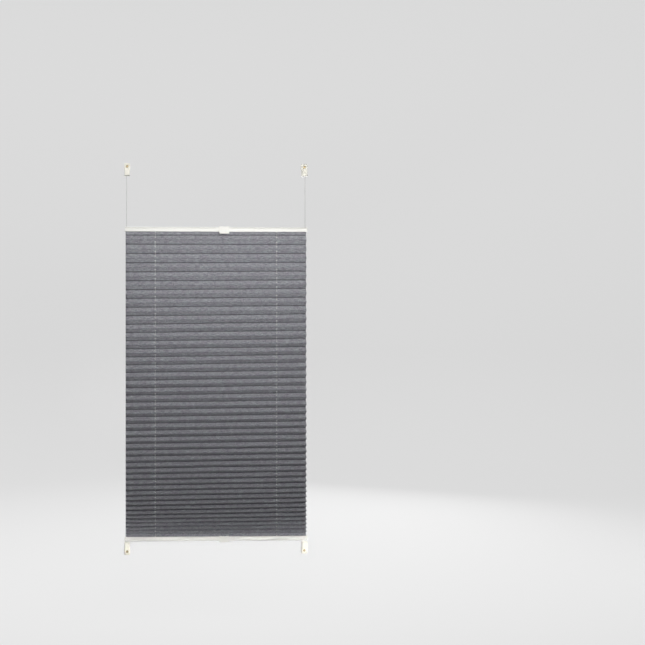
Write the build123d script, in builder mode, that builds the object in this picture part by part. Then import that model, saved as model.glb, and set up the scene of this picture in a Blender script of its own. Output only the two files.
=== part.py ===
from build123d import *
from math import sqrt
import os

os.makedirs("parts", exist_ok=True)

# Pleated blind on two tension cords, in millimetres.
# X runs across the blind, -Y is the room side, +Y the window side, +Z is up.
# The origin is the middle of the four fixing screws, in the plane of the bracket backs.

# ---------------------------------------------------------------- driving dimensions
BLIND_WIDTH = 600.0  # over the rail end caps
BRACKET_SPAN = 1286.0  # from the outer end of the lower brackets to that of the upper ones
TOP_DROP = 169.0  # exposed cord between upper bracket and top rail
BOTTOM_GAP = 5.0  # exposed cord between lower bracket and bottom rail
CORD_PLANE = 13.0  # cord and fabric mid-plane in front of the bracket backs

RAIL_HEIGHT = 15.0
RAIL_DEPTH = 20.0
RAIL_WALL = 1.2
LIP_HEIGHT = 4.5  # full-depth band next to the fabric
LIP_STEP = 0.8  # the crown stands back this far from the lip
CROWN_FLAT = 10.0  # flat top of the crown
CROWN_SHOULDER = 9.0  # height where the crown starts to round
SLOT_WIDTH = 7.0  # fabric slot in the rail
LEDGE = 1.2
LEDGE_HEIGHT = 4.7  # underside of the ledge above the fabric side of the rail
THROAT_WIDTH = 10.0  # opening between the ledges

FIT = 0.15  # clearance of plastic pieces inside the rail
CAP_FLANGE = 2.0
CAP_ROUND = 0.4
CAP_PLUG = 14.0
GUIDE_LENGTH = 16.0
GUIDE_FLOOR = 1.0
GUIDE_MOUTH = 2.6

CORD_DIAMETER = 1.2
CORD_BEND = 3.0  # radius of the rounded edges that turn the cord
CORD_OFFSET = 1.2  # each cord runs this far in front of or behind the mid-plane
CORD_EDGE = 6.0  # cord in from the end of the rail
CORD_LEVEL = 10.0  # height of the cord inside the rail, from its fabric side
CORD_CLEARANCE = 0.6
HOLE_INSET = 100.0  # punched hole line in from the end of the rail

FABRIC_INSET = 2.5  # clear of the end cap flanges
FABRIC_THICKNESS = 0.5
PLEAT_FACE = 20.0  # from fold to fold
MEAN_PITCH = 22.3
FIRST_RUN = 9.8  # from the top rail to the first rear fold
LAST_RUN = 8.5  # from the last rear fold to the bottom rail
PITCH_FALL = 0.45  # how much the pleats close from top to bottom
PITCH_SAG = 0.186
RIDGE_DROOP = 0.06  # share of a pitch that a front fold hangs below the middle
PUNCH_DIAMETER = 4.5

BRACKET_INSET = 7.5  # bracket centre in from the end of the rail
BRACKET_LENGTH = 41.0
BRACKET_WIDTH = 17.0
BRACKET_PLATE = 3.0
HEAD_RADIUS = 10.0  # half the width of the bracket head, centred on its screw
HEAD_CORNER = 4.0
HEAD_DEPTH = 9.0
RECESS_DIAMETER = 10.0
RECESS_DEPTH = 4.0
SCREW_HOLE = 4.5
TONGUE_WIDTH = 7.0
TONGUE_GAP = 1.0  # between the head and the tongue
TONGUE_DEPTH = 2.5
SHOE_DEPTH = 16.5
SHOE_ROUND = 1.2
GROOVE_WIDTH = 1.0
GROOVE_DEPTH = 0.5
GROOVE_SPACING = 5.0
POCKET_WIDTH = 8.0
POCKET_SPARE = 2.5  # room behind the end of the cord
END_WALL = 5.0
SEAT = 0.1  # running gap of the cord stop on its wall

STOP_DIAMETER = 5.5
STOP_LENGTH = 7.0
STOP_TAIL = 2.0
SCREW_HEAD_DIAMETER = 8.4
SCREW_HEAD_HEIGHT = 2.6
SCREW_NECK_DIAMETER = 3.2  # plain neck inside the bracket
SCREW_THREAD_DIAMETER = 4.0
SCREW_REACH = 22.0  # thread behind the bracket
SCREW_POINT = 4.0
SCREW_SLOT = 0.9

HANDLE_WIDTH = 35.0
HANDLE_X = 25.0
HANDLE_THICKNESS = 1.6
HANDLE_GAP = 0.25
HANDLE_HOOK = 4.0
HOOK_WIDTH = 8.0
HOOK_SPREAD = 23.0
TAB_TOP_RAIL = 7.0
TAB_BOTTOM_RAIL = 3.0
TAB_SLANT = 4.0
TAB_RIM = 2.2

# ---------------------------------------------------------------- places
half_span = BRACKET_SPAN / 2
head_size = 2 * HEAD_RADIUS
shoe_start = head_size + 2 * FIT
mid_y = -CORD_PLANE
rail_length = BLIND_WIDTH - 2 * CAP_FLANGE
bottom_edge = -half_span + BRACKET_LENGTH + BOTTOM_GAP + RAIL_HEIGHT
top_edge = half_span - BRACKET_LENGTH - TOP_DROP - RAIL_HEIGHT
fabric_height = top_edge - bottom_edge
cord_x = BLIND_WIDTH / 2 - CORD_EDGE
hole_x = BLIND_WIDTH / 2 - HOLE_INSET
bracket_x = BLIND_WIDTH / 2 - BRACKET_INSET
strip_low = RAIL_WALL + FIT
strip_high = LEDGE_HEIGHT - FIT
chamber_floor = LEDGE_HEIGHT + LEDGE
pass_width = CORD_DIAMETER + 2 * CORD_CLEARANCE
cord_end = BRACKET_LENGTH - END_WALL - SEAT - STOP_LENGTH - STOP_TAIL
pocket_start = cord_end - POCKET_SPARE

RAILS = {"top": (1, top_edge), "bottom": (-1, bottom_edge)}
SIDES = {"left": -1, "right": 1}


def front_cord(side):
    """The cord of the left brackets runs in front of the mid-plane, the other behind it."""
    return mid_y + side * CORD_OFFSET


def rail_plane(x, up, edge):
    """Section plane of a rail: local x is +Y, local y runs away from the fabric."""
    return Plane(origin=(x, mid_y, edge), x_dir=(0, 1, 0), z_dir=(up, 0, 0))


def bracket_plane(side, up):
    """Back plane of a bracket: local y runs inward from its outer end, local z to the room."""
    origin = (side * bracket_x, 0, up * half_span)
    return Plane(origin=origin, x_dir=(-up, 0, 0), z_dir=(0, -1, 0))


# ---------------------------------------------------------------- rail section
with BuildSketch() as rail_outline:
    with BuildLine():
        half = RAIL_DEPTH / 2
        shoulder = half - LIP_STEP
        Polyline(
            (-shoulder, CROWN_SHOULDER),
            (-shoulder, LIP_HEIGHT),
            (-half, LIP_HEIGHT),
            (-half, 0),
            (half, 0),
            (half, LIP_HEIGHT),
            (shoulder, LIP_HEIGHT),
            (shoulder, CROWN_SHOULDER),
        )
        TangentArc((shoulder, CROWN_SHOULDER), (CROWN_FLAT / 2, RAIL_HEIGHT), tangent=(0, 1))
        Line((CROWN_FLAT / 2, RAIL_HEIGHT), (-CROWN_FLAT / 2, RAIL_HEIGHT))
        TangentArc((-shoulder, CROWN_SHOULDER), (-CROWN_FLAT / 2, RAIL_HEIGHT), tangent=(0, 1))
    make_face()

with BuildSketch() as rail_section:
    add(rail_outline.sketch)
    offset(amount=-RAIL_WALL, kind=Kind.INTERSECTION, mode=Mode.SUBTRACT)
    with Locations((0, LEDGE_HEIGHT + LEDGE / 2)):
        Rectangle(RAIL_DEPTH - 2 * LIP_STEP - RAIL_WALL, LEDGE)
        Rectangle(THROAT_WIDTH, LEDGE, mode=Mode.SUBTRACT)
    with Locations((0, RAIL_WALL / 2)):
        Rectangle(SLOT_WIDTH, RAIL_WALL, mode=Mode.SUBTRACT)

with BuildSketch() as chamber_section:
    add(rail_outline.sketch)
    offset(amount=-(RAIL_WALL + FIT), kind=Kind.INTERSECTION, mode=Mode.REPLACE)
    with Locations((0, chamber_floor + FIT)):
        Rectangle(RAIL_DEPTH, RAIL_HEIGHT, align=(Align.CENTER, Align.MIN), mode=Mode.INTERSECT)

# ---------------------------------------------------------------- rails and what is in them
for rail, (up, edge) in RAILS.items():
    with BuildPart() as profile:
        with BuildSketch(rail_plane(0, up, edge)):
            add(rail_section.sketch)
        extrude(amount=rail_length / 2, both=True)
        for side in SIDES.values():
            with Locations((side * cord_x, front_cord(side), edge + up * RAIL_HEIGHT)):
                Cylinder(pass_width / 2 + FIT, 4 * RAIL_WALL, mode=Mode.SUBTRACT)
    profile.part.label = f"{rail}_rail"
    export_step(profile.part, f"parts/{rail}_rail.step")

    with BuildPart() as strip:
        strip_width = RAIL_DEPTH - 2 * (LIP_STEP + RAIL_WALL + FIT)
        with BuildSketch(rail_plane(0, up, edge)):
            with Locations((0, (strip_low + strip_high) / 2)):
                Rectangle(strip_width, strip_high - strip_low)
        extrude(amount=rail_length / 2 - FIT, both=True)
        for side in SIDES.values():
            with Locations((side * hole_x, front_cord(-side), edge + up * strip_low)):
                Cylinder(pass_width / 2, 4 * strip_high, mode=Mode.SUBTRACT)
    strip.part.label = f"{rail}_fabric_strip"
    export_step(strip.part, f"parts/{rail}_fabric_strip.step")

    for name, side in SIDES.items():
        with BuildPart() as cap:
            with BuildSketch(rail_plane(side * rail_length / 2, up, edge)):
                add(rail_outline.sketch)
            extrude(amount=CAP_FLANGE * side * up)
            outer_rim = cap.faces().sort_by(Axis.X)[-1 if side > 0 else 0].edges()
            fillet(outer_rim, CAP_ROUND)
            with BuildSketch(rail_plane(side * rail_length / 2, up, edge)):
                add(chamber_section.sketch)
            extrude(amount=-CAP_PLUG * side * up)
            cord_cut = CAP_PLUG - CORD_EDGE + CAP_FLANGE + pass_width / 2
            cut_middle = cord_x + pass_width / 2 - cord_cut / 2
            cut_level = edge + up * (CORD_LEVEL - pass_width / 2 + RAIL_HEIGHT / 2)
            with Locations((side * cut_middle, front_cord(side), cut_level)):
                Box(cord_cut, pass_width, RAIL_HEIGHT, mode=Mode.SUBTRACT)
        cap.part.label = f"{rail}_{name}_end_cap"
        export_step(cap.part, f"parts/{rail}_{name}_end_cap.step")

        with BuildPart() as guide:
            with BuildSketch(rail_plane(side * hole_x, up, edge)):
                add(chamber_section.sketch)
            extrude(amount=GUIDE_LENGTH / 2, both=True)
            channel_low = chamber_floor + FIT + GUIDE_FLOOR
            channel_high = CORD_LEVEL + pass_width / 2
            channel_middle = edge + up * (channel_low + channel_high) / 2
            with Locations((side * hole_x, mid_y, channel_middle)):
                Box(
                    GUIDE_LENGTH,
                    pass_width + 2 * CORD_OFFSET,
                    channel_high - channel_low,
                    mode=Mode.SUBTRACT,
                )
            with Locations((side * hole_x, front_cord(-side), edge + up * chamber_floor)):
                Cylinder(GUIDE_MOUTH / 2, 4 * GUIDE_FLOOR, mode=Mode.SUBTRACT)
        guide.part.label = f"{rail}_{name}_cord_guide"
        export_step(guide.part, f"parts/{rail}_{name}_cord_guide.step")

# ---------------------------------------------------------------- handles
TABS = {"top": TAB_TOP_RAIL, "bottom": TAB_BOTTOM_RAIL}
for rail, (up, edge) in RAILS.items():
    rail_base = min(edge, edge + up * RAIL_HEIGHT)
    tab = TABS[rail]
    inner_y = mid_y - RAIL_DEPTH / 2 - HANDLE_GAP
    plate_top = RAIL_HEIGHT + HANDLE_GAP + HANDLE_THICKNESS
    front = Plane(origin=(HANDLE_X, inner_y, rail_base), x_dir=(1, 0, 0), z_dir=(0, -1, 0))
    with BuildPart() as handle:
        with BuildSketch(front) as plate:
            with BuildLine():
                Polyline(
                    (-HANDLE_WIDTH / 2, plate_top),
                    (HANDLE_WIDTH / 2, plate_top),
                    (HANDLE_WIDTH / 2, -tab),
                    (-HANDLE_WIDTH / 2 + TAB_SLANT, -tab),
                    (-HANDLE_WIDTH / 2, 0),
                    close=True,
                )
            make_face()
            low_right = plate.vertices().group_by(Axis.Y)[0].sort_by(Axis.X)[-1]
            fillet(low_right, TAB_SLANT / 2)
            upper_corners = plate.vertices().group_by(Axis.Y)[-1]
            fillet(upper_corners, TAB_SLANT / 2)
        extrude(amount=HANDLE_THICKNESS)
        with BuildSketch(front.offset(HANDLE_THICKNESS)):
            rim_width = HANDLE_WIDTH - 2 * TAB_SLANT
            with Locations((TAB_SLANT / 4, -tab)):
                Rectangle(rim_width, TAB_RIM, align=(Align.CENTER, Align.MIN))
        extrude(amount=TAB_RIM, taper=12)
        for hook in (-1, 1):
            with BuildSketch(front):
                with Locations((hook * HOOK_SPREAD / 2, plate_top - HANDLE_THICKNESS / 2)):
                    Rectangle(HOOK_WIDTH, HANDLE_THICKNESS)
            extrude(amount=-HANDLE_HOOK)
            with BuildSketch(front):
                with Locations((hook * HOOK_SPREAD / 2, -HANDLE_GAP - HANDLE_THICKNESS / 2)):
                    Rectangle(HOOK_WIDTH, HANDLE_THICKNESS)
            extrude(amount=-HANDLE_HOOK)
    handle.part.label = f"{rail}_handle"
    export_step(handle.part, f"parts/{rail}_handle.step")

# ---------------------------------------------------------------- pleated fabric
pleat_count = round(fabric_height / MEAN_PITCH)
pleated_height = fabric_height - FIRST_RUN - LAST_RUN
interval_count = pleat_count - 1
shares = []
for index in range(interval_count):
    down = (index + 0.5) / interval_count
    shares.append(1 - PITCH_FALL * down - PITCH_SAG * down**3)
pitches = [pleated_height * share / sum(shares) for share in shares]

end_reach = strip_low - SEAT
folds = [(mid_y, top_edge + end_reach, pitches[0])]
level = top_edge - FIRST_RUN
for pitch in pitches:
    depth = sqrt(PLEAT_FACE**2 - pitch**2 / 4)
    folds.append((mid_y + depth / 2, level, pitch))
    folds.append((mid_y - depth / 2, level - pitch * (0.5 + RIDGE_DROOP), pitch))
    level -= pitch
folds.append((mid_y + depth / 2, level, pitch))
folds.append((mid_y, bottom_edge - end_reach, pitch))


def fabric_face(sign):
    """Fold points of the front (-1) or rear (1) surface, half a thickness off the middle."""
    points = []
    for y, z, pitch in folds:
        points.append((y + sign * FABRIC_THICKNESS * PLEAT_FACE / pitch, z))
    return points


with BuildPart() as fabric:
    with BuildSketch(Plane.YZ):
        with BuildLine():
            Polyline(*fabric_face(-1), *reversed(fabric_face(1)), close=True)
        make_face()
    extrude(amount=BLIND_WIDTH / 2 - FABRIC_INSET, both=True)
    with Locations((-hole_x, mid_y, 0), (hole_x, mid_y, 0)):
        Cylinder(PUNCH_DIAMETER / 2, BRACKET_SPAN, mode=Mode.SUBTRACT)
fabric.part.label = "pleated_fabric"
export_step(fabric.part, "parts/pleated_fabric.step")

# ---------------------------------------------------------------- tension cords
for name, side in SIDES.items():
    y = front_cord(side)
    high_level = top_edge + CORD_LEVEL
    low_level = bottom_edge - CORD_LEVEL
    route = [
        (side * cord_x, y, half_span - cord_end),
        (side * cord_x, y, high_level),
        (-side * hole_x, y, high_level),
        (-side * hole_x, y, low_level),
        (side * cord_x, y, low_level),
        (side * cord_x, y, cord_end - half_span),
    ]
    with BuildPart() as cord:
        with BuildLine() as path:
            FilletPolyline(*route, radius=CORD_BEND)
        with BuildSketch(Plane(origin=route[0], z_dir=(0, 0, -1))):
            Circle(CORD_DIAMETER / 2)
        sweep(path=path.wires()[0])
    print(name, "cord", round(path.wires()[0].length, 1), "mm, bends", CORD_BEND, "mm")
    cord.part.label = f"{name}_tension_cord"
    export_step(cord.part, f"parts/{name}_tension_cord.step")

# ---------------------------------------------------------------- brackets
for end, up in (("upper", 1), ("lower", -1)):
    for name, side in SIDES.items():
        corner = f"{end}_{name}"
        back = bracket_plane(side, up)
        screw = (0, HEAD_RADIUS)
        tongue_start = head_size + TONGUE_GAP
        cord_local = -up * side * (cord_x - bracket_x)
        cord_depth = -front_cord(side)

        with BuildPart() as base:
            with BuildSketch(back):
                with Locations(screw):
                    RectangleRounded(head_size, head_size, HEAD_CORNER)
                    plate_length = BRACKET_LENGTH - HEAD_RADIUS
                    Rectangle(BRACKET_WIDTH, plate_length, align=(Align.CENTER, Align.MIN))
            extrude(amount=BRACKET_PLATE)
            with BuildSketch(back.offset(BRACKET_PLATE)):
                with Locations(screw):
                    RectangleRounded(head_size, head_size, HEAD_CORNER)
            extrude(amount=HEAD_DEPTH - BRACKET_PLATE)
            head_rim = base.faces().sort_by(Axis.Y)[0].edges()
            fillet(head_rim, SHOE_ROUND)
            with BuildSketch(back.offset(BRACKET_PLATE)):
                with Locations((0, tongue_start)):
                    tongue_length = BRACKET_LENGTH - END_WALL - tongue_start
                    Rectangle(TONGUE_WIDTH, tongue_length, align=(Align.CENTER, Align.MIN))
            extrude(amount=TONGUE_DEPTH)
            with Locations(back.offset(HEAD_DEPTH)):
                with Locations((*screw, 0)):
                    CounterBoreHole(SCREW_HOLE / 2, RECESS_DIAMETER / 2, RECESS_DEPTH)
        base.part.label = f"{corner}_bracket_base"
        export_step(base.part, f"parts/{corner}_bracket_base.step")

        with BuildPart() as shoe:
            shoe_back = back.offset(BRACKET_PLATE + FIT)
            shoe_length = BRACKET_LENGTH - shoe_start
            with BuildSketch(shoe_back):
                with Locations((0, shoe_start)):
                    Rectangle(BRACKET_WIDTH, shoe_length, align=(Align.CENTER, Align.MIN))
            extrude(amount=SHOE_DEPTH)
            shoe_front = shoe.faces().sort_by(Axis.Y)[0]
            fillet(shoe_front.edges(), SHOE_ROUND)
            with BuildSketch(back.offset(BRACKET_PLATE + FIT + SHOE_DEPTH)):
                with Locations((-GROOVE_SPACING / 2, shoe_start), (GROOVE_SPACING / 2, shoe_start)):
                    Rectangle(GROOVE_WIDTH, shoe_length, align=(Align.CENTER, Align.MIN))
            extrude(amount=-GROOVE_DEPTH, mode=Mode.SUBTRACT)
            with BuildSketch(shoe_back):
                with Locations((0, shoe_start)):
                    track_length = BRACKET_LENGTH - END_WALL + FIT - shoe_start
                    track_width = TONGUE_WIDTH + 2 * FIT
                    Rectangle(track_width, track_length, align=(Align.CENTER, Align.MIN))
            extrude(amount=TONGUE_DEPTH, mode=Mode.SUBTRACT)
            with BuildSketch(back.offset(BRACKET_PLATE + TONGUE_DEPTH)):
                with Locations((cord_local, pocket_start)):
                    pocket_length = BRACKET_LENGTH - END_WALL - pocket_start
                    Rectangle(POCKET_WIDTH, pocket_length, align=(Align.CENTER, Align.MIN))
            pocket_depth = cord_depth + STOP_DIAMETER / 2 + 2 * FIT - BRACKET_PLATE - TONGUE_DEPTH
            extrude(amount=pocket_depth, mode=Mode.SUBTRACT)
            with Locations((side * cord_x, front_cord(side), up * (half_span - BRACKET_LENGTH))):
                Cylinder(pass_width / 2, 3 * END_WALL, mode=Mode.SUBTRACT)
        shoe.part.label = f"{corner}_cord_shoe"
        export_step(shoe.part, f"parts/{corner}_cord_shoe.step")

        with BuildPart() as stop:
            stop_seat = up * (half_span - BRACKET_LENGTH + END_WALL + SEAT)
            seat_plane = Plane(origin=(side * cord_x, front_cord(side), stop_seat), z_dir=(0, 0, up))
            with BuildSketch(seat_plane):
                Circle(STOP_DIAMETER / 2)
                Circle(CORD_DIAMETER / 2 + SEAT, mode=Mode.SUBTRACT)
            extrude(amount=STOP_LENGTH)
            chamfer(stop.edges().filter_by(GeomType.CIRCLE).group_by(SortBy.RADIUS)[-1], STOP_DIAMETER / 8)
        stop.part.label = f"{corner}_cord_stop"
        export_step(stop.part, f"parts/{corner}_cord_stop.step")

        with BuildPart() as fixing:
            seat = back.offset(HEAD_DEPTH - RECESS_DEPTH)
            with BuildSketch(seat):
                with Locations(screw):
                    Circle(SCREW_HEAD_DIAMETER / 2)
            extrude(amount=SCREW_HEAD_HEIGHT)
            fillet(fixing.faces().sort_by(Axis.Y)[0].edges(), SCREW_HEAD_HEIGHT / 2)
            with BuildSketch(seat):
                with Locations(screw):
                    Circle(SCREW_NECK_DIAMETER / 2)
            extrude(amount=RECESS_DEPTH - HEAD_DEPTH)
            with BuildSketch(back):
                with Locations(screw):
                    Circle(SCREW_THREAD_DIAMETER / 2)
            extrude(amount=SCREW_POINT - SCREW_REACH)
            with BuildSketch(back.offset(SCREW_POINT - SCREW_REACH)):
                with Locations(screw):
                    Circle(SCREW_THREAD_DIAMETER / 2)
            with BuildSketch(back.offset(-SCREW_REACH)):
                with Locations(screw):
                    Circle(SCREW_SLOT / 4)
            loft()
            with BuildSketch(seat.offset(SCREW_HEAD_HEIGHT)):
                with Locations(screw):
                    Rectangle(SCREW_HEAD_DIAMETER / 2, SCREW_SLOT)
                    Rectangle(SCREW_SLOT, SCREW_HEAD_DIAMETER / 2)
            extrude(amount=-SCREW_HEAD_HEIGHT / 2, mode=Mode.SUBTRACT)
        fixing.part.label = f"{corner}_screw"
        export_step(fixing.part, f"parts/{corner}_screw.step")
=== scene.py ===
"""Looks of the cord-tensioned pleated blind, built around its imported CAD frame.

Metres, +Z up, the room is at -Y and the wall at +Y. Places come from the frame; the pleats and the
cord's bends repeat the part's own dimensions.
"""

import math
import random

import bpy
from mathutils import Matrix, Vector
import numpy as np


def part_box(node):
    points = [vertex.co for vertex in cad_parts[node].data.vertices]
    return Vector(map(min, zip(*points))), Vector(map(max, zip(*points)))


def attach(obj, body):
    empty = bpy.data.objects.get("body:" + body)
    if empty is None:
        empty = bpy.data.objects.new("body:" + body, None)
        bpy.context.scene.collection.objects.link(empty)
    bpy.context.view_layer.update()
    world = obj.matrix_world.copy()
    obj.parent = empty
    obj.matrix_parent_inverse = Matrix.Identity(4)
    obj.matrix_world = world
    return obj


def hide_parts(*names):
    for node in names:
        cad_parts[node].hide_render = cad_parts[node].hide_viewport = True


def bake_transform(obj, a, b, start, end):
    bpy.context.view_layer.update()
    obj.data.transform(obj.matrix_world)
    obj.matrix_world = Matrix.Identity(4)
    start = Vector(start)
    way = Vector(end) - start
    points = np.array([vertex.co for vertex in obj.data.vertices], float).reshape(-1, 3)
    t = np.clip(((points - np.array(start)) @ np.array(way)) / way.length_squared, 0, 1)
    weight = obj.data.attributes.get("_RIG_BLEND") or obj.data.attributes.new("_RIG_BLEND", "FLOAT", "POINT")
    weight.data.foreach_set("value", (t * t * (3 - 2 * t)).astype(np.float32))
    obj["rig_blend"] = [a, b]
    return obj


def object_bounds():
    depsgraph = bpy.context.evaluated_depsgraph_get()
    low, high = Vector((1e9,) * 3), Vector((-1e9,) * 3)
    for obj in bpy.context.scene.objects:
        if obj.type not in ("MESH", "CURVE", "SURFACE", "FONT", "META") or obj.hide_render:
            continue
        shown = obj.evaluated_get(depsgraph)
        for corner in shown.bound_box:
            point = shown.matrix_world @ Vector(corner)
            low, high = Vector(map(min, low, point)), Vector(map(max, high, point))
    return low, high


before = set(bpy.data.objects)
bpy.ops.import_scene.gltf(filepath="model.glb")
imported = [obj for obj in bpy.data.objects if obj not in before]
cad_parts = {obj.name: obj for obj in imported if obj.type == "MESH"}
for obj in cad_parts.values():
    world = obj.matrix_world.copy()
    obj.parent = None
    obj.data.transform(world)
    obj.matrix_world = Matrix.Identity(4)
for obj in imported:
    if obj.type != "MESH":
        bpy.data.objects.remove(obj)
cad_low, cad_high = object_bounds()
random.seed(7)

# ---------------------------------------------------------------- the part's own dimensions
PLEAT_COUNT = 45
PLEAT_FACE = 0.020
FIRST_RUN = 0.0098
LAST_RUN = 0.0085
PITCH_FALL = 0.45
PITCH_SAG = 0.186
RIDGE_DROOP = 0.06
HOLE_X = 0.200
PUNCH_RADIUS = 0.00225
CORD_BEND = 0.003
CORD_LEVEL = 0.010

# ---------------------------------------------------------------- dimensions of the looks
SPLIT_FOLD = 18  # rear fold where the upper and lower pieces of the fabric meet
STACK = 0.0012  # height of one fully folded pleat
CLOTH_THICKNESS = 0.00032
COLUMN_STEP = 0.0085  # between mesh columns across the cloth
HOLE_STEPS = 8  # steps between the columns across a punched hole
HOLE_LIMIT = 0.45  # most of a face that half a hole may take
MIDDLE = 0.5  # share of a face
INNER_ROWS = (0.04, 0.18, 0.34, MIDDLE)  # mesh rows from a fold, as shares of its face
FOLD_ROUND = 0.00035  # a fold stops this far short of its sharp edge
WANDER = 0.00075  # how far a fold strays from its line
BULGE = 0.0005  # about how far a face bows
LEAN = 0.0125  # rise of the folds for each metre towards +X, easing to level at both rails
LEAN_START = 0.3  # share of the drop in which the lean sets in
LEAN_END = 0.08  # share of the drop in which it fades
CORD_SIDES = 14
BRAID_STRANDS = 6
BEND_STEPS = 8

# ---------------------------------------------------------------- places from the frame
rail_low, rail_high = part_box("top_rail")
TOP_EDGE, TOP_CROWN = rail_low.z, rail_high.z
MID_Y = (rail_low.y + rail_high.y) / 2
rail_low, rail_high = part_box("bottom_rail")
BOTTOM_EDGE, BOTTOM_CROWN = rail_high.z, rail_low.z
CLOTH_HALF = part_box("pleated_fabric")[1].x
STRIP_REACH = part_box("top_fabric_strip")[0].z - TOP_EDGE


# ---------------------------------------------------------------- shader helpers
def new_material(name):
    material = bpy.data.materials.new(name)
    material.use_nodes = True
    shader = material.node_tree.nodes["Principled BSDF"]
    return material, material.node_tree, shader


def stretched(tree, source, scale):
    """Texture coordinates (source is Object or UV), stretched by scale per metre."""
    coordinates = tree.nodes.new("ShaderNodeTexCoord")
    mapping = tree.nodes.new("ShaderNodeMapping")
    mapping.inputs["Scale"].default_value = scale
    tree.links.new(coordinates.outputs[source], mapping.inputs["Vector"])
    return mapping.outputs["Vector"]


def noise(tree, vector, detail=3.0, roughness=0.55, distortion=0.0):
    node = tree.nodes.new("ShaderNodeTexNoise")
    node.inputs["Scale"].default_value = 1.0
    node.inputs["Detail"].default_value = detail
    node.inputs["Roughness"].default_value = roughness
    node.inputs["Distortion"].default_value = distortion
    tree.links.new(vector, node.inputs["Vector"])
    return node.outputs["Fac"]


def ramp(tree, value, stops):
    """A colour ramp: stops are (position, grey or colour)."""
    node = tree.nodes.new("ShaderNodeValToRGB")
    elements = node.color_ramp.elements
    while len(elements) < len(stops):
        elements.new(0.5)
    for element, (position, colour) in zip(elements, stops):
        element.position = position
        if isinstance(colour, (int, float)):
            colour = (colour, colour, colour)
        element.color = (*colour, 1)
    tree.links.new(value, node.inputs["Fac"])
    return node.outputs["Color"]


def maths(tree, operation, first, second):
    """One arithmetic step; first and second are numbers or outputs."""
    node = tree.nodes.new("ShaderNodeMath")
    node.operation = operation
    for socket, value in zip(node.inputs, (first, second)):
        if isinstance(value, (int, float)):
            socket.default_value = value
        else:
            tree.links.new(value, socket)
    return node.outputs["Value"]


def multiplied(tree, first, second):
    """The product of two colour outputs."""
    node = tree.nodes.new("ShaderNodeMix")
    node.data_type = "RGBA"
    node.blend_type = "MULTIPLY"
    node.inputs[0].default_value = 1.0
    tree.links.new(first, node.inputs[6])
    tree.links.new(second, node.inputs[7])
    return node.outputs[2]


def bumped(tree, shader, layers):
    """Stacks bump layers (height, strength, distance) under the shader's normal."""
    normal = None
    for height, strength, distance in layers:
        node = tree.nodes.new("ShaderNodeBump")
        node.inputs["Strength"].default_value = strength
        node.inputs["Distance"].default_value = distance
        tree.links.new(height, node.inputs["Height"])
        if normal:
            tree.links.new(normal, node.inputs["Normal"])
        normal = node.outputs["Normal"]
    tree.links.new(normal, shader.inputs["Normal"])


# ---------------------------------------------------------------- materials
def cloth_material():
    """Crushed polyester: slate grey melange, crosswise streaks, fine weave; painted shade along the rear
    folds and a darker band beside each front fold.

    The cloth's UVs are metres on the flat cloth, U across it and V down it.
    """
    material, tree, shader = new_material("pleated_cloth")
    streaks = noise(tree, stretched(tree, "UV", (70, 420, 1)), 4, 0.6, 0.4)
    blotches = noise(tree, stretched(tree, "UV", (32, 60, 1)), 3, 0.5, 0.6)
    crinkle = noise(tree, stretched(tree, "UV", (210, 300, 1)), 5, 0.65, 1.2)
    yarn = noise(tree, stretched(tree, "UV", (500, 3200, 1)), 2, 0.5)
    specks = noise(tree, stretched(tree, "UV", (260, 620, 1)), 3, 0.6, 0.3)
    colour = ramp(tree, streaks, [
        (0.34, (0.235, 0.231, 0.257)),
        (0.5, (0.345, 0.345, 0.372)),
        (0.66, (0.51, 0.512, 0.54)),
    ])
    patches = ramp(tree, blotches, [(0.35, (0.95, 0.92, 0.95)), (0.65, (1.03, 1.07, 1.05))])
    colour = multiplied(tree, colour, patches)
    colour = multiplied(tree, colour, ramp(tree, yarn, [(0.35, 0.84), (0.65, 1.14)]))
    flecks = ramp(tree, specks, [(0.38, 0.78), (0.5, 1.0), (0.64, 1.3)])
    colour = multiplied(tree, colour, flecks)

    # V in faces is even at a front fold and odd at a rear one; crinkle strays it a little
    coordinates = tree.nodes.new("ShaderNodeTexCoord")
    split_uv = tree.nodes.new("ShaderNodeSeparateXYZ")
    tree.links.new(coordinates.outputs["UV"], split_uv.inputs["Vector"])
    wander = maths(tree, "MULTIPLY", maths(tree, "SUBTRACT", crinkle, 0.5), 0.03)
    faces = maths(tree, "ADD", maths(tree, "DIVIDE", split_uv.outputs["Y"], PLEAT_FACE), wander)
    to_front = maths(tree, "PINGPONG", faces, 1.0)
    to_rear = maths(tree, "SUBTRACT", 1.0, to_front)
    # a darker band just beside each front fold, pale at its very edge
    front_fold = ramp(tree, to_front, [(0.0, 1.0), (0.03, 0.84), (0.07, 0.72), (0.16, 1.0)])
    # painted shade: the cloth is painted darker along each rear fold, where the narrow valley lies in shade
    rear_valley_shade = ramp(tree, to_rear, [(0.0, 0.27), (0.06, 0.4), (0.2, 1.0)])
    colour = multiplied(tree, multiplied(tree, colour, front_fold), rear_valley_shade)
    tree.links.new(colour, shader.inputs["Base Color"])

    threads = tree.nodes.new("ShaderNodeTexWave")
    threads.wave_type = "BANDS"
    threads.bands_direction = "Y"
    threads.inputs["Scale"].default_value = 1.0
    threads.inputs["Distortion"].default_value = 1.5
    tree.links.new(stretched(tree, "UV", (60, 420, 1)), threads.inputs["Vector"])
    bumped(tree, shader, [
        (crinkle, 0.55, 0.0012),
        (threads.outputs["Fac"], 0.2, 0.0002),
        (yarn, 0.3, 0.0002),
    ])
    rough = ramp(tree, crinkle, [(0.3, 0.72), (0.7, 0.86)])
    tree.links.new(rough, shader.inputs["Roughness"])
    shader.inputs["Sheen Weight"].default_value = 0.12
    shader.inputs["Sheen Roughness"].default_value = 0.4
    shader.inputs["Specular IOR Level"].default_value = 0.25
    return material


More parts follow.
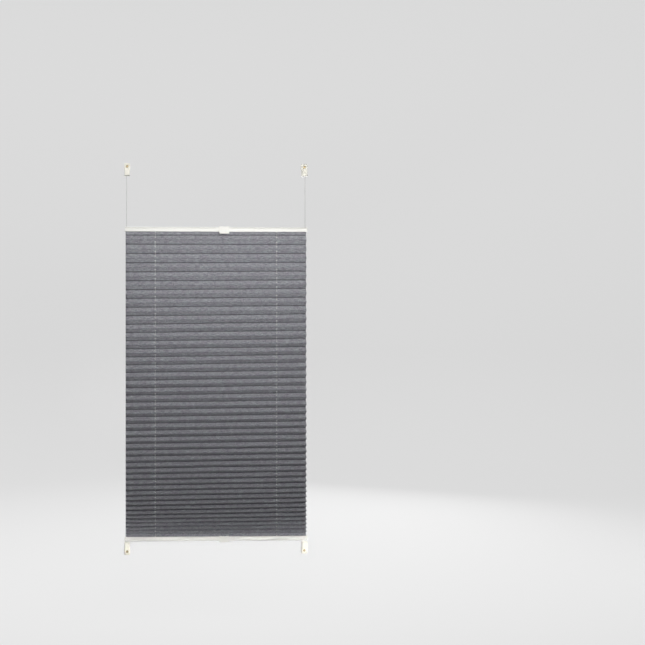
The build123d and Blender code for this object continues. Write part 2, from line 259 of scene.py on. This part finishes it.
def coating_material():
    """Off-white powder coat with a fine orange peel."""
    material, tree, shader = new_material("powder_coat")
    drift = noise(tree, stretched(tree, "Object", (9, 40, 40)), 3)
    tint = ramp(tree, drift, [(0.3, (0.84, 0.83, 0.775)), (0.7, (0.88, 0.87, 0.82))])
    tree.links.new(tint, shader.inputs["Base Color"])
    peel = noise(tree, stretched(tree, "Object", (900, 900, 900)), 2)
    fine = noise(tree, stretched(tree, "Object", (120, 260, 260)), 3)
    tree.links.new(ramp(tree, fine, [(0.3, 0.34), (0.7, 0.44)]), shader.inputs["Roughness"])
    bumped(tree, shader, [(peel, 0.18, 0.0002)])
    shader.inputs["Coat Weight"].default_value = 0.15
    shader.inputs["Coat Roughness"].default_value = 0.25
    return material


def plastic_material(name, low, high, roughness, grain):
    """Moulded plastic: slow tone drift, fine spark-eroded grain, faint flow marks."""
    material, tree, shader = new_material(name)
    drift = noise(tree, stretched(tree, "Object", (45, 45, 45)), 3, 0.5, 0.5)
    tree.links.new(ramp(tree, drift, [(0.3, low), (0.7, high)]), shader.inputs["Base Color"])
    fine = noise(tree, stretched(tree, "Object", (1600, 1600, 1600)), 2)
    flow = noise(tree, stretched(tree, "Object", (160, 160, 420)), 3, 0.5, 0.8)
    levels = [(0.3, roughness - 0.05), (0.7, roughness + 0.07)]
    tree.links.new(ramp(tree, flow, levels), shader.inputs["Roughness"])
    bumped(tree, shader, [(flow, 0.08, 0.0003), (fine, grain, 0.0001)])
    return material


def zinc_material():
    """Dull brown passivated zinc on steel, with the faint turning marks of a screw head."""
    material, tree, shader = new_material("yellow_zinc")
    clouds = noise(tree, stretched(tree, "Object", (420, 420, 420)), 4, 0.6, 1.0)
    stops = [(0.3, (0.2, 0.15, 0.08)), (0.55, (0.31, 0.25, 0.15)), (0.75, (0.4, 0.35, 0.25))]
    tree.links.new(ramp(tree, clouds, stops), shader.inputs["Base Color"])
    shader.inputs["Metallic"].default_value = 1.0
    marks = noise(tree, stretched(tree, "Object", (900, 900, 900)), 3)
    tree.links.new(ramp(tree, marks, [(0.3, 0.28), (0.7, 0.42)]), shader.inputs["Roughness"])
    bumped(tree, shader, [(marks, 0.12, 0.0002)])
    return material


def braid_material():
    """Braided polyester cord, mid grey, with painted shade in the gaps between the crossing strands."""
    material, tree, shader = new_material("braided_cord")
    heights = []
    for slope in (1, -1):
        wave = tree.nodes.new("ShaderNodeTexWave")
        wave.bands_direction = "DIAGONAL"
        wave.inputs["Scale"].default_value = 1.0
        tree.links.new(stretched(tree, "UV", (1.26 * slope, 520, 0)), wave.inputs["Vector"])
        heights.append(wave.outputs["Fac"])
    strands = maths(tree, "MAXIMUM", *heights)
    wear = noise(tree, stretched(tree, "UV", (3, 90, 1)), 3)
    # painted shade: the gaps between the strands are painted darker than the strands' crowns
    tint = ramp(tree, strands, [(0.2, (0.29, 0.29, 0.28)), (0.8, (0.57, 0.565, 0.55))])
    colour = multiplied(tree, tint, ramp(tree, wear, [(0.3, 0.92), (0.7, 1.04)]))
    tree.links.new(colour, shader.inputs["Base Color"])
    shader.inputs["Roughness"].default_value = 0.75
    shader.inputs["Sheen Weight"].default_value = 0.1
    bumped(tree, shader, [(strands, 0.7, 0.00012)])
    return material


cloth = cloth_material()
coating = coating_material()
cream = plastic_material("cream_plastic", (0.79, 0.765, 0.67), (0.83, 0.81, 0.72), 0.34, 0.12)
pale_cream = plastic_material("cream_handle", (0.81, 0.80, 0.745), (0.85, 0.84, 0.785), 0.36, 0.15)
white_plastic = plastic_material("white_plastic", (0.78, 0.78, 0.76), (0.83, 0.83, 0.81), 0.45, 0.15)
zinc = zinc_material()
braid = braid_material()

FINISHES = {
    "_rail": coating,
    "_end_cap": pale_cream,
    "_handle": pale_cream,
    "_fabric_strip": white_plastic,
    "_cord_guide": white_plastic,
    "_cord_stop": white_plastic,
    "_bracket_base": cream,
    "_cord_shoe": cream,
    "_screw": zinc,
}
for node_name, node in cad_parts.items():
    for ending, material in FINISHES.items():
        if node_name.endswith(ending):
            for slot in node.material_slots:
                slot.material = material


# ---------------------------------------------------------------- mesh helpers
def in_scene(name, data):
    """A new object with this data, in the scene."""
    item = bpy.data.objects.new(name, data)
    bpy.context.scene.collection.objects.link(item)
    return item


def add_uvs(mesh, name, places):
    """A UV layer that gives each vertex its place."""
    layer = mesh.uv_layers.new(name=name)
    for loop in mesh.loops:
        layer.data[loop.index].uv = places[loop.vertex_index]


# ---------------------------------------------------------------- pleated fabric
def fold_lines():
    """The cloth's ends and folds from the top rail down, as (y, z, pitch, side).

    Side is 1 for a rear fold, -1 for a front fold and 0 for an end of the cloth.
    """
    height = TOP_EDGE - BOTTOM_EDGE - FIRST_RUN - LAST_RUN
    intervals = PLEAT_COUNT - 1
    shares = []
    for index in range(intervals):
        down = (index + 0.5) / intervals
        shares.append(1 - PITCH_FALL * down - PITCH_SAG * down**3)
    pitches = [height * share / sum(shares) for share in shares]
    level = TOP_EDGE - FIRST_RUN
    lines = [(MID_Y, TOP_EDGE + STRIP_REACH, pitches[0], 0)]
    for pitch in pitches:
        depth = math.sqrt(PLEAT_FACE**2 - pitch**2 / 4)
        lines.append((MID_Y + depth / 2, level, pitch, 1))
        lines.append((MID_Y - depth / 2, level - pitch * (0.5 + RIDGE_DROOP), pitch, -1))
        level -= pitch
    lines.append((MID_Y + depth / 2, level, pitch, 1))
    lines.append((MID_Y, BOTTOM_EDGE - STRIP_REACH, pitch, 0))
    return lines


def wave_line(size):
    """A gentle wander along X, made of three waves with their own phases."""
    parts = []
    for share, length in ((0.5, 0.83), (0.3, 0.29), (0.2, 0.12)):
        parts.append((size * share, 2 * math.pi / length, random.uniform(0, 2 * math.pi)))
    return lambda x: sum(a * math.sin(k * x + p) for a, k, p in parts)


def cloth_columns():
    """Column places across the cloth, close together where they go round a punched hole."""
    count = round(2 * CLOTH_HALF / COLUMN_STEP)
    columns = [-CLOTH_HALF + 2 * CLOTH_HALF * index / count for index in range(count + 1)]
    keep = [x for x in columns if abs(abs(x) - HOLE_X) > PUNCH_RADIUS + COLUMN_STEP / 4]
    for middle in (-HOLE_X, HOLE_X):
        for step in range(HOLE_STEPS + 1):
            keep.append(middle - PUNCH_RADIUS * math.cos(math.pi * step / HOLE_STEPS))
    return sorted(keep)


def hole_opening(x):
    """Half the length of the punched hole along Y at this column."""
    off = abs(abs(x) - HOLE_X)
    return math.sqrt(max(PUNCH_RADIUS**2 - off**2, 0)) if off < PUNCH_RADIUS - 1e-7 else 0.0


FOLDS = fold_lines()
COLUMNS = cloth_columns()
FOLD_WANDER = [(wave_line(WANDER), wave_line(WANDER * 0.7)) for _ in FOLDS]
FACE_BULGE = [(wave_line(BULGE * 0.8), random.uniform(-0.2, 0.2)) for _ in FOLDS]


def fold_point(index, x):
    """Where a fold, with its wander and lean, passes this column, as (y, z)."""
    y, z, pitch, side = FOLDS[index]
    if side == 0:
        return y, z
    up, out = FOLD_WANDER[index]
    calm = min(1.0, pitch / PLEAT_FACE)
    down = (TOP_EDGE - z) / (TOP_EDGE - BOTTOM_EDGE)
    lean = LEAN * min(1.0, down / LEAN_START, (1 - down) / LEAN_END)
    return y + out(x) * calm, z + up(x) * calm + lean * x


def cloth_point(face, share, x):
    """A point on a pleat's face: share 0 is its upper fold and share 1 its lower one."""
    y0, z0 = fold_point(face, x)
    y1, z1 = fold_point(face + 1, x)
    dy, dz = y1 - y0, z1 - z0
    length = math.hypot(dy, dz)
    wave, lean = FACE_BULGE[face]
    bulge = (BULGE * (0.5 + lean) + wave(x)) * math.sin(math.pi * share) ** 2
    y = y0 + dy * share + bulge * dz / length
    z = z0 + dz * share - bulge * dy / length
    if share in (0.0, 1.0):
        y -= FOLDS[face + int(share)][3] * FOLD_ROUND
    return x, y, z


def place_on_face(face, share, half, gap):
    """A row's share of its face, once the rows make way for a punched hole of this half-length.

    The hole is in the middle of a face, and at the rail on the two end faces.
    """
    if FOLDS[face][3] == 0:
        return gap + share * (1 - gap)
    if FOLDS[face + 1][3] == 0:
        return share * (1 - gap)
    if half == 0:
        return share * (1 - 2 * gap)
    return 1 - (1 - share) * (1 - 2 * gap)


def make_cloth(name, first, last):
    """The cloth between two folds, with its punched holes, as one thin sheet."""
    rows = []  # (face, share of the face, 0 for its upper and 1 for its lower half)
    for face in range(first, last):
        rows += [(face, share, 0) for share in (0.0, *INNER_ROWS)]
        rows += [(face, 1 - share, 1) for share in reversed(INNER_ROWS)]
    rows.append((last - 1, 1.0, 1))
    vertices, flat_places, grid = [], [], []
    for face, share, half in rows:
        depth = abs(FOLDS[face + 1][0] - FOLDS[face][0])
        line = []
        for column, x in enumerate(COLUMNS):
            gap = min(hole_opening(x) / depth, HOLE_LIMIT)
            if share == MIDDLE and half == 1 and gap == 0:
                line.append(grid[-1][column])
                continue
            at = place_on_face(face, share, half, gap)
            line.append(len(vertices))
            vertices.append(cloth_point(face, at, x))
            flat_places.append((x, (face + at) * PLEAT_FACE))
        grid.append(line)
    faces = []
    for (_, share, half), upper, lower in zip(rows, grid, grid[1:]):
        if share == MIDDLE and half == 0:
            continue  # the two middle rows meet here, or leave the hole between them
        for column in range(len(COLUMNS) - 1):
            quad = (upper[column], lower[column], lower[column + 1], upper[column + 1])
            corners = tuple(dict.fromkeys(quad))
            if len(corners) > 2:
                faces.append(corners)
    mesh = bpy.data.meshes.new(name)
    mesh.from_pydata(vertices, [], faces)
    add_uvs(mesh, "flat_cloth", flat_places)
    mesh.polygons.foreach_set("use_smooth", [True] * len(mesh.polygons))
    sheet = in_scene(name, mesh)
    thicken(sheet)
    sheet.data.materials.clear()
    sheet.data.materials.append(cloth)
    return sheet


def thicken(sheet):
    """Gives the sheet its thickness and applies it."""
    solid = sheet.modifiers.new("thickness", "SOLIDIFY")
    solid.thickness = CLOTH_THICKNESS
    solid.offset = 0.0
    bpy.context.view_layer.update()
    graph = bpy.context.evaluated_depsgraph_get()
    thick_mesh = bpy.data.meshes.new_from_object(sheet.evaluated_get(graph))
    sheet.modifiers.clear()
    sheet.data = thick_mesh


def interpolated(pairs, level):
    """The value at this level between sorted (level, value) pairs."""
    if level <= pairs[0][0]:
        return pairs[0][1]
    for (z0, w0), (z1, w1) in zip(pairs, pairs[1:]):
        if level <= z1:
            return w0 + (w1 - w0) * (level - z0) / (z1 - z0)
    return pairs[-1][1]


def fold_evenly(piece, first, last, rail_end):
    """Sets how far each part follows its rail, so that every pleat closes to the same stack.

    The weights go by the place along the flat cloth, not by height, so that the two pieces stay
    joined where the folds lean. rail_end is the end of the cloth that is at a rail.
    """
    marks = [FOLDS[i][1] for i in range(first, last + 1) if FOLDS[i][3] >= 0]
    if rail_end == "bottom":
        marks.reverse()
    give = [max(abs(b - a) - STACK, 0.0) for a, b in zip(marks, marks[1:])]
    total, run = sum(give), 0.0
    weights = [1.0]
    for step in give:
        run += step
        weights.append(1.0 - run / total)
    pairs = sorted(zip(marks, weights))
    attribute = piece.data.attributes["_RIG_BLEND"]
    layer = piece.data.uv_layers["flat_cloth"]
    for loop in piece.data.loops:
        along = layer.data[loop.index].uv.y / PLEAT_FACE
        face = min(int(along), len(FOLDS) - 2)
        upper, lower = FOLDS[face][1], FOLDS[face + 1][1]
        level = upper + (lower - upper) * (along - face)
        attribute.data[loop.vertex_index].value = interpolated(pairs, level)


split = 1 + 2 * SPLIT_FOLD
last_fold = len(FOLDS) - 1
split_level = FOLDS[split][1]
upper_cloth = make_cloth("fabric_upper", 0, split)
lower_cloth = make_cloth("fabric_lower", split, last_fold)
middle = (0, MID_Y, split_level)
for piece, unit, edge in (
    (upper_cloth, "top_rail_unit", TOP_EDGE),
    (lower_cloth, "bottom_rail_unit", BOTTOM_EDGE),
):
    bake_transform(piece, "brackets", unit, start=middle, end=(0, MID_Y, edge))
    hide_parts("pleated_fabric")
fold_evenly(upper_cloth, 0, split, "top")
fold_evenly(lower_cloth, split, last_fold, "bottom")


# ---------------------------------------------------------------- tension cords
def tube(name, points, radius):
    """A round cord along points that lie in one plane of constant Y."""
    vertices, places, faces = [], [], []
    travelled = 0.0
    for number, point in enumerate(points):
        before = Vector(points[max(number - 1, 0)])
        after = Vector(points[min(number + 1, len(points) - 1)])
        along = (after - before).normalized()
        side = Vector((along.z, 0, -along.x))
        if number:
            travelled += (Vector(point) - Vector(points[number - 1])).length
        for corner in range(CORD_SIDES):
            angle = 2 * math.pi * corner / CORD_SIDES
            offset = side * math.cos(angle) + Vector((0, 1, 0)) * math.sin(angle)
            vertices.append(Vector(point) + offset * radius)
            places.append((corner / CORD_SIDES * BRAID_STRANDS, travelled))
    for ring in range(len(points) - 1):
        for corner in range(CORD_SIDES):
            a, b = ring * CORD_SIDES + corner, ring * CORD_SIDES + (corner + 1) % CORD_SIDES
            faces.append((a, a + CORD_SIDES, b + CORD_SIDES, b))
    faces.append(tuple(range(CORD_SIDES)))
    faces.append(tuple(reversed(range(len(vertices) - CORD_SIDES, len(vertices)))))
    mesh = bpy.data.meshes.new(name)
    mesh.from_pydata(vertices, [], faces)
    add_uvs(mesh, "along_cord", places)
    mesh.polygons.foreach_set("use_smooth", [len(polygon.vertices) == 4 for polygon in mesh.polygons])
    mesh.materials.append(braid)
    return in_scene(name, mesh)


def rounded(corners, radius):
    """A route of straight runs whose right-angled corners are arcs of this radius."""
    route = [Vector(corners[0])]
    for before, corner, after in zip(corners, corners[1:], corners[2:]):
        corner = Vector(corner)
        back = (Vector(before) - corner).normalized()
        on = (Vector(after) - corner).normalized()
        centre = corner + (back + on) * radius
        for step in range(BEND_STEPS + 1):
            angle = math.pi / 2 * step / BEND_STEPS
            route.append(centre - on * radius * math.cos(angle) - back * radius * math.sin(angle))
    route.append(Vector(corners[-1]))
    return route


for side_name, side in (("left", -1), ("right", 1)):
    node_name = f"{side_name}_tension_cord"
    low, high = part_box(node_name)
    radius = (high.y - low.y) / 2
    y = (low.y + high.y) / 2
    end_x = (low.x + radius) if side < 0 else (high.x - radius)
    hole_x = (high.x - radius) if side < 0 else (low.x + radius)
    shoe_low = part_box(f"upper_{side_name}_cord_shoe")[0].z
    shoe_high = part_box(f"lower_{side_name}_cord_shoe")[1].z
    high_level, low_level = TOP_EDGE + CORD_LEVEL, BOTTOM_EDGE - CORD_LEVEL
    straight = {
        "upper_drop": ((end_x, (high.z, shoe_low, TOP_CROWN)), "top_rail_unit"),
        "upper_thread": ((hole_x, (split_level, TOP_EDGE)), "top_rail_unit"),
        "lower_thread": ((hole_x, (split_level, BOTTOM_EDGE)), "bottom_rail_unit"),
        "lower_drop": ((end_x, (low.z, shoe_high, BOTTOM_CROWN)), "bottom_rail_unit"),
    }
    bent = {
        "top_run": ((TOP_CROWN, high_level, TOP_EDGE), "top_rail_unit"),
        "bottom_run": ((BOTTOM_CROWN, low_level, BOTTOM_EDGE), "bottom_rail_unit"),
    }
    for name, ((x, levels), unit) in straight.items():
        piece = tube(f"{side_name}_cord_{name}", [(x, y, z) for z in levels], radius)
        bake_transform(piece, "brackets", unit, start=(x, y, levels[-2]), end=(x, y, levels[-1]))
        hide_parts(node_name)
    for name, ((outside, level, inside), unit) in bent.items():
        corners = [(end_x, y, outside), (end_x, y, level), (hole_x, y, level), (hole_x, y, inside)]
        piece = tube(f"{side_name}_cord_{name}", rounded(corners, CORD_BEND), radius)
        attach(piece, unit)
        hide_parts(node_name)


# ---------------------------------------------------------------- studio
FLOOR_DROP = 0.35  # floor below the blind
WALL_RADIUS = 4.4
WALL_TOP = 3.4
COVE = 0.9
COVE_STEPS = 12
STUDIO_SIDES = 96
FLOOR_CENTRE = 0.001  # radius of the floor's innermost ring
FLOOR_RING = 2.0


def round_studio():
    """A pale floor that curves up into a round wall, with room for the camera on every side."""
    floor_z = cad_low.z - FLOOR_DROP
    cove_start = WALL_RADIUS - COVE
    outline = [(radius, floor_z) for radius in (FLOOR_CENTRE, FLOOR_RING, cove_start)]
    for step in range(1, COVE_STEPS + 1):
        angle = math.pi / 2 * step / COVE_STEPS
        outline.append((cove_start + COVE * math.sin(angle), floor_z + COVE - COVE * math.cos(angle)))
    outline.append((WALL_RADIUS, WALL_TOP))
    vertices, faces = [], []
    for r, z in outline:
        for corner in range(STUDIO_SIDES):
            angle = 2 * math.pi * corner / STUDIO_SIDES
            vertices.append((r * math.cos(angle), r * math.sin(angle), z))
    for ring in range(len(outline) - 1):
        for corner in range(STUDIO_SIDES):
            a, b = ring * STUDIO_SIDES + corner, ring * STUDIO_SIDES + (corner + 1) % STUDIO_SIDES
            faces.append((a, b, b + STUDIO_SIDES, a + STUDIO_SIDES))
    mesh = bpy.data.meshes.new("studio")
    mesh.from_pydata(vertices, [], faces)
    mesh.polygons.foreach_set("use_smooth", [True] * len(mesh.polygons))
    mesh.materials.append(studio_paint())
    studio = in_scene("studio", mesh)
    studio.visible_diffuse = False  # it lights nothing, so the folds keep their shade


def studio_paint():
    """Matt grey that glows a little, so it stays pale and even under the lamps."""
    material, _, shader = new_material("studio_paint")
    shader.inputs["Base Color"].default_value = (0.2, 0.2, 0.2, 1)
    shader.inputs["Emission Color"].default_value = (1, 1, 1, 1)
    shader.inputs["Emission Strength"].default_value = 0.58
    shader.inputs["Roughness"].default_value = 0.9
    return material


def area_light(name, place, target, size, power, spread=180):
    """A soft lamp that the camera doesn't see; spread is the angle of its beam in degrees."""
    data = bpy.data.lights.new(name, "AREA")
    data.shape = "RECTANGLE"
    data.size, data.size_y = size
    data.energy = power
    data.spread = math.radians(spread)
    light = in_scene(name, data)
    light.location = place
    light.rotation_euler = (Vector(target) - Vector(place)).to_track_quat("-Z", "Y").to_euler()
    light.visible_camera = False


round_studio()

# from the room: a key near the blind's top, so that the cloth darkens downwards, a level fill for
# the undersides of the pleats, and narrow beams for the bottom rail and two brackets
area_light("key", (0.2, -1.5, 0.55), (0, 0, 0.65), (1.2, 0.5), 8.1, 117)
area_light("front_fill", (0, -2.2, -0.25), (0, 0, -0.2), (1.2, 0.4), 6.2)
area_light("low_strip", (0, -1.3, -0.68), (0, 0, -0.63), (1.3, 0.06), 0.3, 11)
area_light("low_corner", (0.5, -1.0, -0.66), (0.292, 0, -0.64), (0.1, 0.06), 0.011, 8)
area_light("high_corner", (-0.25, -1.3, 0.45), (-0.25, 0, 0.65), (0.5, 0.06), 0.02, 12)

# from behind, above and the sides: the backdrop, the rails' crowns, and the blind's other sides
area_light("backdrop_wash", (0.0, 1.0, 3.0), (0, 4.4, 0.2), (5.0, 1.0), 70)
area_light("crown_light", (-0.6, 1.6, 2.3), (0, 0, 0), (2.2, 1.2), 62)
area_light("rear_fill", (1.4, 3.0, 0.5), (0, 0, 0), (1.8, 1.8), 30)
area_light("left_fill", (-3.2, 0.5, 0.4), (0, 0, 0), (1.2, 1.8), 17)
area_light("right_fill", (3.2, 0.5, 0.4), (0, 0, 0), (1.2, 1.8), 17)

AMBIENT = 0.08
world = bpy.data.worlds.new("world")
world.use_nodes = True
world.node_tree.nodes["Background"].inputs["Color"].default_value = (1, 1, 1, 1)
world.node_tree.nodes["Background"].inputs["Strength"].default_value = AMBIENT
bpy.context.scene.world = world
bpy.context.scene.view_settings.view_transform = "Standard"

# ---------------------------------------------------------------- camera
CAMERA_PLACE = (-0.278, -3.113, 0.120)
CAMERA_YAW = -1.8  # degrees; the camera is level
FOCAL = 52.74
SENSOR = 36
SHIFT_X = 0.25  # the blind stands left of the frame's middle

camera_data = bpy.data.cameras.new("camera")
camera_data.lens = FOCAL
camera_data.sensor_width = SENSOR
camera_data.shift_x = SHIFT_X
camera = in_scene("camera", camera_data)
camera.location = CAMERA_PLACE
camera.rotation_euler = (math.radians(90), 0, math.radians(CAMERA_YAW))
bpy.context.scene.camera = camera
